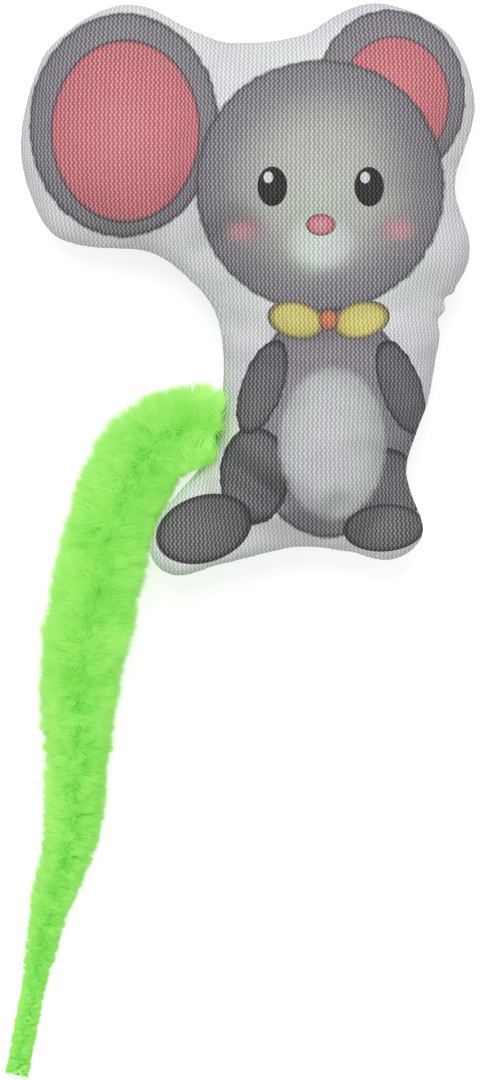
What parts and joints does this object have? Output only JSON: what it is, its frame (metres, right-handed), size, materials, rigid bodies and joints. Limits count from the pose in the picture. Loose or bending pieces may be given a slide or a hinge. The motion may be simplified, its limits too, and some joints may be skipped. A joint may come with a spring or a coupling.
{
  "type": "catnip mouse",
  "caption": "Flat stuffed mouse cushion with a printed front and a long tapered plush tail that swings, lifts and bends.",
  "frame": {"origin": "on the resting face of the back panel, under the middle of the belly", "axes": "+Z out of the printed front, +Y towards the ears, +X towards the mouse's right-hand edge as seen from the front"},
  "size_m": [0.1045, 0.2394, 0.0307],
  "materials": {
    "printed_knit": "white polyester knit, printed in greys and pinks, matt with fine zigzag ribs",
    "plain_knit": "plain white polyester knit, matt",
    "white_thread": "white sewing thread",
    "fibre_fill": "loose white polyester fibre",
    "pouch_cloth": "thin unbleached nonwoven cloth",
    "dried_catnip": "crumbled dried leaf",
    "green_pile": "neon green plush pile, soft sheen",
    "dark_cord": "dark green twisted cord"
  },
  "bodies": {
    "mouse": {"front_panel": "printed_knit", "back_panel": "plain_knit", "head_stuffing": "fibre_fill", "left_ear_stuffing": "fibre_fill", "right_ear_stuffing": "fibre_fill", "belly_stuffing_front": "fibre_fill", "belly_stuffing_back": "fibre_fill", "left_foot_stuffing": "fibre_fill", "right_foot_stuffing": "fibre_fill", "catnip_pouch_front": "pouch_cloth", "catnip_pouch_back": "pouch_cloth", "dried_catnip": "dried_catnip", "seam_thread_upper": "white_thread", "seam_thread_lower": "white_thread", "closing_thread": "white_thread", "tack_thread": "white_thread", "tail_anchor": "dark_cord", "tail_collar_sweep": "green_pile"},
    "tail_root": {"tail_pile_root": "green_pile", "tail_core_root": "dark_cord", "tail_collar_lift": "green_pile"},
    "tail_upper": {"tail_pile_upper": "green_pile", "tail_core_upper": "dark_cord", "tail_collar_middle": "green_pile"},
    "tail_middle": {"tail_pile_middle": "green_pile", "tail_core_middle": "dark_cord", "tail_collar_tip": "green_pile"},
    "tail_end": {"tail_pile_tip": "green_pile", "tail_core_tip": "dark_cord", "tip_binding": "dark_cord"}
  },
  "joints": [
    {"name": "tail_sweep", "type": "hinge", "parent": "mouse", "child": "tail_root", "pos_m": [-0.03748, -0.0038, 0.01254], "axis": [0, 0, -1], "range_deg": [0, 80], "deforming": ["tail_collar_sweep"]},
    {"name": "tail_lift", "type": "hinge", "parent": "tail_root", "child": "tail_upper", "pos_m": [-0.04946, -0.02145, 0.0095], "axis": [-0.9546, 0.2978, 0], "range_deg": [0, 70], "deforming": ["tail_collar_lift"]},
    {"name": "tail_bend_middle", "type": "hinge", "parent": "tail_upper", "child": "tail_middle", "pos_m": [-0.05601, -0.05556, 0.0094], "axis": [0, 0, 1], "range_deg": [-35, 35], "deforming": ["tail_collar_middle"]},
    {"name": "tail_bend_tip", "type": "hinge", "parent": "tail_middle", "child": "tail_end", "pos_m": [-0.05792, -0.09121, 0.00624], "axis": [0, 0, 1], "range_deg": [-40, 40], "deforming": ["tail_collar_tip"]}
  ]
}
